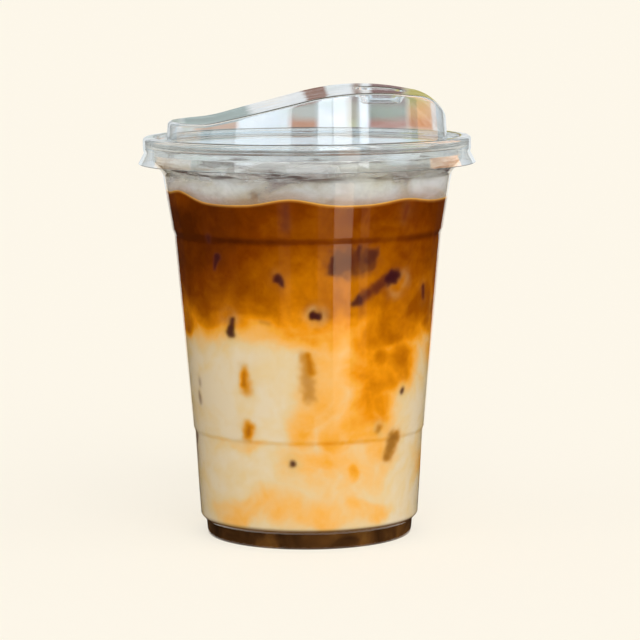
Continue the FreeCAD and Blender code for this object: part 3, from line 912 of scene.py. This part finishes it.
# the pale tone of the painted highlight round the ice and along the drink's top edge
HIGHLIGHT_TONE = colour(212, 194, 132)
STAIN_SHADE = colour(112, 72, 32)
HIGHLIGHT_STRENGTH = 0.7
# How fine each of the shader's own clouds is, and how much coffee it adds or takes
FINE = (420, 0.07)
VEINS = (150, 0.12)


def latte_finish():
    finish = Finish("latte")
    fine = finish.cloud(finish.place, FINE[0], detail=4, roughness=0.6, warp=0.6)
    veins = finish.cloud(finish.place, VEINS[0], detail=3, roughness=0.55, warp=1.2)
    share = finish.attribute("coffee_share") + (fine - 0.5) * FINE[1] + (veins - 0.5) * VEINS[1]
    latte = finish.ramp(share, *LATTE)
    # painted highlight, then painted shade where ice touches the wall
    highlighted = finish.blend(finish.attribute("ice_halo") * HIGHLIGHT_STRENGTH, latte, HIGHLIGHT_TONE)
    dark = finish.attribute("ice_dark")
    marked = finish.blend(dark, highlighted, finish.blend(dark, FAINT_SHADE_THROUGH_ICE, DEEP_SHADE_THROUGH_ICE))
    stained = finish.blend(finish.attribute("syrup_stain"), marked, STAIN_SHADE)
    skin = finish.surface({"Base Color": stained, "Roughness": 0.5, "Specular IOR Level": 0.0})
    return finish.done(skin)


LATTE_SKIN = latte_finish()
print("finish", LATTE_SKIN.name, "with", len(LATTE), "stops")

# %% [markdown]
# Milk and coffee are one liquid with one finish, but two pieces, so that each can stand for its
# own solid. They share the boundary between them, and only the coffee has the painted highlight
# along its top edge.

# %% Milk and coffee
def drink_layer(name, node, bottom, top, across_top, top_highlight=False):
    sections = [[p * MM for p in section] for section in layer_sections(bottom, top, across_top)]
    bm = grow(sections)
    close_poles(bm)
    piece = make_piece(name, bm, node, LATTE_SKIN, sharp=40)
    paint_layer(piece, top_highlight)
    return piece


milk = drink_layer("milk_layer", "milk", syrup_top, milk_top, HIDDEN_STEPS)
coffee = drink_layer("coffee_layer", "coffee", milk_top, drink_top, SEEN_STEPS,
                     top_highlight=True)

# %% [markdown]
# Dark syrup has settled in the foot, below the milk. Its shape is turned, so its outline is spun
# like the cup's: it follows the raised base, fills the foot and ends level. Its colour wavers
# between two browns, because syrup that settles is never quite even.

# %% Syrup in the foot
def syrup_finish():
    finish = Finish("syrup")
    clouds = finish.cloud(finish.place, 90, detail=3, warp=0.8)
    shade = finish.ramp(clouds, (0.30, colour(44, 24, 8)), (0.50, colour(82, 52, 24)),
                        (0.72, colour(120, 80, 36)))
    skin = finish.surface({"Base Color": shade, "Roughness": 0.5, "Specular IOR Level": 0.0})
    return finish.done(skin)


SKIN_DEPTH = CUP_WALL - DRINK_BITE
syrup_line = flat_line(
    (0, PANEL_RISE + SKIN_DEPTH, 0),
    (FOOT_RADIUS - FOOT_RING - 1.8, PANEL_RISE + SKIN_DEPTH, 1.2),
    (FOOT_RADIUS - FOOT_RING + 0.1, SKIN_DEPTH, 0.6),
    (FOOT_RADIUS - SKIN_DEPTH, SKIN_DEPTH, 0.6),
    (skin_radius(FOOT_HEIGHT), FOOT_HEIGHT, 0),
    (skin_radius(SYRUP_LEVEL), SYRUP_LEVEL, 0),
    (0, SYRUP_LEVEL, 0),
)
syrup = make_piece("syrup_layer", spin_line(syrup_line), "syrup", syrup_finish(), sharp=40)

# %% [markdown]
# The ice is machine-made and cloudy in places, where air was trapped. Its finish mixes clear ice
# with white frost by slow noise, and a fine grain dents both. A volume inside each cube could
# hold the cloud, but the model that is exported keeps surfaces only.

# %% Ice finish
ICE_IOR = 1.31


def ice_finish():
    finish = Finish("ice")
    cloudy = finish.cloud(finish.place, 95, detail=4, roughness=0.6, warp=0.5)
    frost_share = (cloudy * 1.6 - 0.3).between(0.1, 0.85)
    grain = finish.cloud(finish.place, 260, detail=3)
    rough = finish.bump(0.35, 0.4 * MM, grain)
    clear = finish.surface({"Base Color": (0.93, 0.96, 0.98, 1), "Roughness": 0.12, "IOR": ICE_IOR,
                            "Transmission Weight": 1.0, "Normal": rough})
    frost = finish.surface({"Base Color": colour(232, 231, 226), "Roughness": 0.4, "Normal": rough})
    body = finish.node("ShaderNodeMixShader", None, {0: frost_share, 1: clear, 2: frost})
    return finish.done(finish.lets_light_in(body.outputs[0], (0.8, 0.82, 0.83, 1)))


ICE = ice_finish()
print("finish", ICE.name)

# %% [markdown]
# Each cube copies its CAD cube, whose loose triangles are merged first. Subdividing rounds the
# flats a little, as melting does, and slow noise makes every cube a different one. Sculpting would
# give the same, cube by cube, but six cubes from one function stay alike in kind.

# %% Ice cubes
ICE_CUBES = 6
MELT = 0.35  # how far melting has moved the surface, in millimetres


def melted_cube(node):
    bm = bmesh.new()
    bm.from_mesh(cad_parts[node].data)
    bmesh.ops.remove_doubles(bm, verts=bm.verts, dist=0.01 * MM)
    bmesh.ops.dissolve_limit(bm, angle_limit=math.radians(2), verts=bm.verts, edges=bm.edges)
    middle = sum((v.co for v in bm.verts), Vector()) / len(bm.verts)
    bmesh.ops.subdivide_edges(bm, edges=bm.edges, cuts=3, use_grid_fill=True)
    bmesh.ops.triangulate(bm, faces=[f for f in bm.faces if len(f.verts) > 4])
    for _ in range(2):
        bmesh.ops.smooth_vert(bm, verts=bm.verts, factor=0.4)
    for vert in bm.verts:
        dent = noise.noise(vert.co / MM / 7) - 0.4
        vert.co += (vert.co - middle).normalized() * dent * MELT * MM
    bmesh.ops.recalc_face_normals(bm, faces=bm.faces)
    piece = make_piece(node + "_cube", bm, node, ICE)
    rounding = piece.modifiers.new("melt", "SUBSURF")
    rounding.levels = 2
    rounding.render_levels = 2
    return piece


cubes = [melted_cube(f"ice_{i}") for i in range(1, ICE_CUBES + 1)]

# %% [markdown]
# Above the drink the cold wall is fogged on its inside. Fog is a film of droplets too fine to
# model, so it is one thin skin just inside the wall: pale, patchy, dense by the drink and thinner
# towards the lid. Its colour also holds painted light: a painted reflection of the coffee just over
# the drink, painted shade that dims it under the lid, and dark thin streaks of painted shadow there.

# %% Mist on the inside of the wall
MIST_TOP = 116.0
MIST_GAP = 0.05
MIST_STEPS = 12
LID_SHADE_FROM = 0.1085  # metres up where painted shade begins to dim the mist under the lid
SHADOW_STREAKS_FROM = 0.109  # metres up where the dark streaks of painted shadow begin
COFFEE_REFLECTION_REACH = 2.6  # how far up the mist takes the colour of the coffee below it, as a painted reflection
# the darkest stop is painted shadow of the ice and the lid
MIST_SHADES = (
    (0.38, colour(110, 90, 82)),
    (0.46, colour(174, 165, 144)),
    (0.55, colour(198, 198, 192)),
    (0.68, colour(228, 230, 234)),
)
YELLOWISH = colour(196, 186, 128)
# the tone of the painted reflection of the coffee in the mist
COFFEE_REFLECTED = colour(146, 100, 68)
# the tone of the painted shadow streaks under the lid
STREAK_SHADOW = colour(88, 66, 62)


def mist_finish():
    finish = Finish("mist")
    drawn_out = finish.scaled_place(1, 1, 2.2)
    height = finish.axes()[2]
    patches = finish.cloud(finish.place, 55, detail=4, roughness=0.6, warp=0.8)
    speckle = finish.cloud(finish.place, 900, detail=2)
    density = finish.cloud(drawn_out, 42, detail=3, roughness=0.55, warp=0.5)
    # painted shade that dims the mist under the lid
    density = density - ((height - LID_SHADE_FROM) * 22).between(0, 0.1)
    yellow = ((finish.cloud(drawn_out, 30, detail=1) - 0.5) * 3).between(0, 0.6)
    shade = finish.blend(yellow, finish.ramp(density, *MIST_SHADES), YELLOWISH)
    # painted reflection of the coffee just over the drink
    shade = finish.blend(finish.attribute("coffee_glow") * patches * 1.3, shade, COFFEE_REFLECTED)
    # dark streaks of painted shadow under the lid, which also make the mist denser
    streaks = finish.cloud(finish.scaled_place(1, 1, 8), 62, detail=3, roughness=0.6)
    shadow_streaks = ((streaks - 0.52) * 10).between(0, 0.85) * ((height - SHADOW_STREAKS_FROM) * 400).between(0, 1)
    shade = finish.blend(shadow_streaks, shade, STREAK_SHADOW)
    thickness = patches * 0.9 + speckle * 0.25 + 0.12
    seen = (thickness * finish.attribute("mist_fade") + shadow_streaks * 0.6).between(0, 0.92)
    skin = finish.surface({"Base Color": shade, "Roughness": 0.5, "Specular IOR Level": 0.2,
                           "Alpha": seen})
    return finish.done(skin)


def mist_sections():
    sections = []
    for i in range(AROUND):
        turn = math.tau * i / AROUND
        low = height_at_wall(drink_top, turn)
        section = []
        for s in range(MIST_STEPS + 1):
            height = low + (MIST_TOP - low) * s / MIST_STEPS
            radius = wall_radius(height * MM) / MM - CUP_WALL - MIST_GAP
            section.append(Vector((radius * math.cos(turn), radius * math.sin(turn), height)) * MM)
        sections.append(section)
    return sections


mist = make_piece("mist", grow(mist_sections()), None, mist_finish())
mist_fades, coffee_reflections = [], []
for vert in mist.data.vertices:
    point = vert.co / MM
    share = (point.z - DRINK_LEVEL) / (MIST_TOP - DRINK_LEVEL)
    mist_fades.append(min(1, max(0, 1.15 - share)) ** 0.7)
    # the painted reflection of the coffee fades with height above it
    coffee_reflections.append(bell((point.z - drink_top(point.x, point.y)) / COFFEE_REFLECTION_REACH))
store(mist, mist_fade=mist_fades, coffee_glow=coffee_reflections)

# %% [markdown]
# A few bubbles ride where the drink meets the wall. They are tiny domes of foam, and a particle
# system could scatter them, but then they would be no mesh. A small sphere is added for each at a
# seeded random place, in one mesh, with few faces because each is a fraction of a millimetre.

# %% Bubbles
def bubble_finish():
    finish = Finish("foam")
    tan = finish.cloud(finish.place, 700, detail=1)
    shade = finish.blend(tan, colour(176, 116, 52), colour(226, 178, 110))
    skin = finish.surface({"Base Color": shade, "Roughness": 0.15, "Coat Weight": 0.5})
    return finish.done(skin)


BUBBLES = 130
BUBBLE_SIZES = (0.18, 0.5)  # the smallest and largest radius, in millimetres
bubble_mesh = bmesh.new()
for _ in range(BUBBLES):
    turn = draw.uniform(0, math.tau)
    size = draw.uniform(*BUBBLE_SIZES)
    gap = draw.choice((0, 0, 0, draw.uniform(0, 3)))
    reach = skin_radius(DRINK_LEVEL) - DRINK_BITE - size - gap
    x, y = reach * math.cos(turn), reach * math.sin(turn)
    at = Matrix.Translation(Vector((x, y, drink_top(x, y) + size * 0.2)) * MM)
    bmesh.ops.create_icosphere(bubble_mesh, subdivisions=2, radius=size * MM, matrix=at)
bubbles = make_piece("bubbles", bubble_mesh, None, bubble_finish())

pieces = (cup, lid, milk, coffee, syrup, *cubes, mist, bubbles)
print(len(pieces), "pieces:", ", ".join(piece.name for piece in pieces))

# %% [markdown]
# The stage is a wide pale floor that the cup stands on. It has a little light of its own, so that
# it looks even and bright while the cup's soft shadow still falls on it. Every piece of the stage
# is made by one helper, which also says which kinds of rays don't see the piece.

# %% Floor
FLOOR_SIZE = 40.0
FLOOR_MATT = (0.30, 0.285, 0.25, 1)
FLOOR_GLOW = (0.975, 0.92, 0.81, 1)
FLOOR_STRENGTH = 0.72


def stage_piece(name, bm, finish, *unseen_by):
    """A piece of the stage made of a bmesh, hidden from some kinds of rays."""
    mesh = bpy.data.meshes.new(name)
    bm.to_mesh(mesh)
    bm.free()
    mesh.materials.append(finish)
    piece = bpy.data.objects.new(name, mesh)
    bpy.context.scene.collection.objects.link(piece)
    for ray in unseen_by:
        setattr(piece, "visible_" + ray, False)
    print("stage", name, len(mesh.polygons), "faces, unseen by", unseen_by or "no", "rays")


def floor_finish():
    finish = Finish("floor")
    matt = finish.node("ShaderNodeBsdfDiffuse", None, {"Color": FLOOR_MATT})
    both = finish.node("ShaderNodeAddShader", None,
                       {0: matt.outputs[0], 1: finish.glow(FLOOR_GLOW, FLOOR_STRENGTH)})
    return finish.done(both.outputs[0])


floor_mesh = bmesh.new()
bmesh.ops.create_grid(floor_mesh, x_segments=8, y_segments=8, size=FLOOR_SIZE)
stage_piece("floor", floor_mesh, floor_finish())

# %% [markdown]
# The air round the stage lights everything a little, in a neutral grey that leaves colours as they
# are. To the camera, and to rays that clear plastic bends or mirrors, it is the pale warm tone of
# the backdrop instead. A wall behind the cup would do the same, but would be wrong from the sides.

# %% World
PALE = colour(252, 245, 231)
NEUTRAL = (0.60, 0.60, 0.60, 1)

world = bpy.data.worlds.new("studio")
bpy.context.scene.world = world
world.use_nodes = True
sky = Nodes(world.node_tree)
rays = sky.node("ShaderNodeLightPath").outputs
seen = sky.number(rays["Is Camera Ray"]) + sky.number(rays["Is Transmission Ray"])
seen = (seen + sky.number(rays["Is Glossy Ray"])).at_most(1)
air = sky.blend(seen, NEUTRAL, PALE)
background = sky.node("ShaderNodeBackground", None, {"Color": air, "Strength": 1.0})
sky.node("ShaderNodeOutputWorld", None, {"Surface": background.outputs[0]})
print("world", world.name, "with", len(sky.tree.nodes), "nodes")

# %% [markdown]
# One soft lamp high in front is the key light, and a weaker one at each side keeps the flanks from
# going dark. Lamps this wide give no hard shadow. They don't show in reflections, where a round
# spot would look wrong: the bands of the room do that work.

# %% Soft key light
SOFTNESS = 50  # how wide each lamp looks, in degrees


def sun(name, turn, rise, strength):
    """A lamp that shines evenly from degrees right of the front and degrees up."""
    lamp = bpy.data.lights.new(name, "SUN")
    lamp.energy = strength
    lamp.angle = math.radians(SOFTNESS)
    made = bpy.data.objects.new(name, lamp)
    bpy.context.scene.collection.objects.link(made)
    t, e = math.radians(turn), math.radians(rise)
    toward = Vector((math.sin(t) * math.cos(e), -math.cos(t) * math.cos(e), math.sin(e)))
    made.rotation_mode = "QUATERNION"
    made.rotation_quaternion = toward.to_track_quat("Z", "Y")
    made.visible_glossy = False
    print("lamp", name, "of strength", strength)


sun("key", 12, 38, 1.27)
sun("left_fill", -62, 14, 0.42)
sun("right_fill", 72, 14, 0.74)

# %% [markdown]
# Clear plastic shows little but what it reflects: bright windows, the darker room between them,
# and warm colours from the table. Here that room is one bowl round the cup, seen by reflections
# only, whose finish holds upright bands of light. Area lamps would give such bands too, but a
# band in a finish can be bright high up and faint as the table mirrors it, which is what the lid
# and the wall of a cup show.

# %% The room in the reflections
ROOM_TONE = (0.022, 0.018, 0.014, 1)
# Bands of the room: degrees round from the front to the right, tint, brightness high up, and
# brightness as the table shows them
BANDS = (
    (-132, -96, (1.00, 0.56, 0.24), 1.2, 0.05),
    (-84, -62, (0.55, 0.60, 0.50), 0.8, 0.05),
    (-60, -13, (0.94, 0.98, 1.00), 3.4, 0.0),
    (-24, -14, (1.00, 0.98, 0.95), 3.4, 0.12),
    (-12, 6, (0.62, 0.50, 0.42), 0.9, 0.0),
    (8, 20, (0.96, 0.99, 1.00), 5.0, 0.22),
    (21, 36, (1.00, 0.98, 0.96), 6.5, 2.1),
    (43, 51, (0.96, 0.99, 1.00), 5.5, 0.30),
    (56, 84, (0.50, 0.52, 0.42), 0.8, 0.0),
    (102, 134, (1.00, 0.42, 0.10), 3.0, 0.05),
)
BAND_EDGE = 1.5  # degrees over which a band ends
TABLE_TINT = (1.0, 0.78, 0.56)
TABLE_START = 0.012  # square metres: the square of how far off the table begins to show bands
TABLE_GROWTH = 14
WALL_START = 0.12  # metres up at which the table's reflections give way to the wall's
WALL_GROWTH = 8
ROOM_HALF = 155  # degrees to each side
ROOM_STEPS = 60
# The bowl's line, in metres out and up: it starts at the cup's foot and ends far above the lid
ROOM_LINE = ((0.0319, 0.0003), (0.45, 0.0006), (0.75, 0.05), (0.95, 0.3), (1.0, 1.1))


def room_finish():
    finish = Finish("room")
    x, y, z = finish.axes()
    turn = x.combine("ARCTAN2", x, 0 - y) * math.degrees(1)
    shade = ROOM_TONE
    rise = (z - WALL_START) * WALL_GROWTH
    reach = ((x * x + y * y - TABLE_START) * TABLE_GROWTH).between(0, 1)
    for first, last, tint, high, low in BANDS:
        middle, half = (first + last) / 2, (last - first) / 2
        off = turn.combine("ABSOLUTE", turn - middle, 0)
        inside = (half - off) * (1 / BAND_EDGE) + 0.5
        up = tuple(part * high for part in tint) + (1,)
        down = tuple(part * low * warm for part, warm in zip(tint, TABLE_TINT)) + (1,)
        near = finish.blend(reach, ROOM_TONE, down)
        shade = finish.blend(inside, shade, finish.blend(rise, near, up))
    return finish.done(finish.glow(shade))


room_mesh = bmesh.new()
room_verts = [room_mesh.verts.new((0, -away, up)) for away, up in ROOM_LINE]
room_edges = [room_mesh.edges.new(pair) for pair in zip(room_verts, room_verts[1:])]
for side in (-1, 1):
    bmesh.ops.spin(room_mesh, geom=room_verts + room_edges, cent=(0, 0, 0), axis=(0, 0, side),
                   angle=math.radians(ROOM_HALF), steps=ROOM_STEPS)
bmesh.ops.remove_doubles(room_mesh, verts=room_mesh.verts, dist=0.01 * MM)
stage_piece("room", room_mesh, room_finish(), "camera", "diffuse", "transmission", "shadow")

# %% [markdown]
# Behind the cup lies a room out of focus, which shows only through the clear lid and in the
# reflections. An upright card takes its place. Its finish holds pale rows of light and a few
# soft columns of colour, whose edges noise makes uneven, as blur and old plastic do.

# %% The blurred room behind
BACK_AWAY = 0.30
BACK_WIDTH = 0.36
BACK_LOW, BACK_HIGH = 0.070, 0.260
PALE_ROWS = (
    (0.30, colour(222, 234, 228)),
    (0.50, colour(238, 243, 247)),
    (0.66, colour(250, 248, 242)),
)
# Blurred shapes: from and to in millimetres across, how strong, and their colours going up
SHAPES = (
    (-58, -51, 0.6, (196, 210, 200), (170, 186, 172), (150, 160, 140)),
    (-50, -29, 0.75, (214, 150, 104), (196, 206, 200), (140, 160, 154)),
    (-7, 4, 0.95, (206, 140, 104), (196, 196, 186), (150, 112, 96)),
    (17, 21, 0.8, (206, 200, 150), (176, 160, 130), (150, 120, 104)),
    (26, 43, 0.9, (176, 96, 72), (128, 140, 122), (130, 92, 88)),
    (43, 60, 0.95, (212, 128, 68), (226, 168, 100), (190, 180, 100)),
)
SHAPE_EDGE = 3.0
SHAPE_START = 0.1035  # metres up at which the shapes begin
TONE_STARTS = (6, 12)  # millimetres above that at which the second and third colours begin
TONE_GROWTH = 0.3
WANDER = 9  # how far noise pushes their edges, in millimetres


def back_finish():
    finish = Finish("room_back")
    columns = finish.cloud(finish.scaled_place(1, 1, 0.2), 70, detail=2.5, roughness=0.6)
    rows = finish.cloud(finish.scaled_place(0.3, 1, 1), 110, detail=2, roughness=0.5)
    x, _, z = finish.axes()
    across = x * (1 / MM) + (columns - 0.5) * WANDER
    level = (z - SHAPE_START) * (1 / MM) + (rows - 0.5) * WANDER
    shade = finish.ramp(rows, *PALE_ROWS)
    fade_in = (level * 0.25).between(0, 1)
    for first, last, strength, *tones in SHAPES:
        off = across.combine("ABSOLUTE", across - (first + last) / 2, 0)
        inside = (((last - first) / 2 - off) * (1 / SHAPE_EDGE) + 0.5).between(0, 1)
        tone = colour(*tones[0])
        for tone_start, next_tone in zip(TONE_STARTS, tones[1:]):
            tone = finish.blend((level - tone_start) * TONE_GROWTH, tone, colour(*next_tone))
        shade = finish.blend(inside * fade_in * strength, shade, tone)
    return finish.done(finish.glow(shade))


back_mesh = bmesh.new()
bmesh.ops.create_grid(back_mesh, x_segments=1, y_segments=1, size=0.5,
                      matrix=Matrix.Translation((0, BACK_AWAY, (BACK_LOW + BACK_HIGH) / 2))
                      @ Matrix.Diagonal((BACK_WIDTH, 1, BACK_HIGH - BACK_LOW, 1))
                      @ Matrix.Rotation(math.radians(90), 4, "X"))
stage_piece("room_back", back_mesh, back_finish(), "camera", "diffuse", "shadow")

# %% [markdown]
# The camera stands a little above the lid and looks slightly down. It is far enough back for a
# long lens, which keeps the cup's sides nearly straight. Its turn, tilt and roll are three
# rotations, one after the other, because a camera at rest looks straight down.

# %% Camera
CAMERA_AWAY = 0.900
CAMERA_UP = 0.172
CAMERA_TURN = math.radians(-0.23)
CAMERA_TILT = math.radians(90 - 6.775)
CAMERA_ROLL = math.radians(-0.35)
LENS = 167.3
camera_data = bpy.data.cameras.new("camera")
camera_data.lens = LENS
camera_data.sensor_width = 36
camera = bpy.data.objects.new("camera", camera_data)
bpy.context.scene.collection.objects.link(camera)
look = (Matrix.Rotation(CAMERA_TURN, 4, "Z") @ Matrix.Rotation(CAMERA_TILT, 4, "X")
        @ Matrix.Rotation(CAMERA_ROLL, 4, "Z"))
camera.matrix_world = Matrix.Translation((0, -CAMERA_AWAY, CAMERA_UP)) @ look
bpy.context.scene.camera = camera
bpy.context.scene.view_settings.view_transform = "Standard"
print("camera", CAMERA_AWAY, "m in front,", CAMERA_UP, "m up, lens", LENS, "mm")
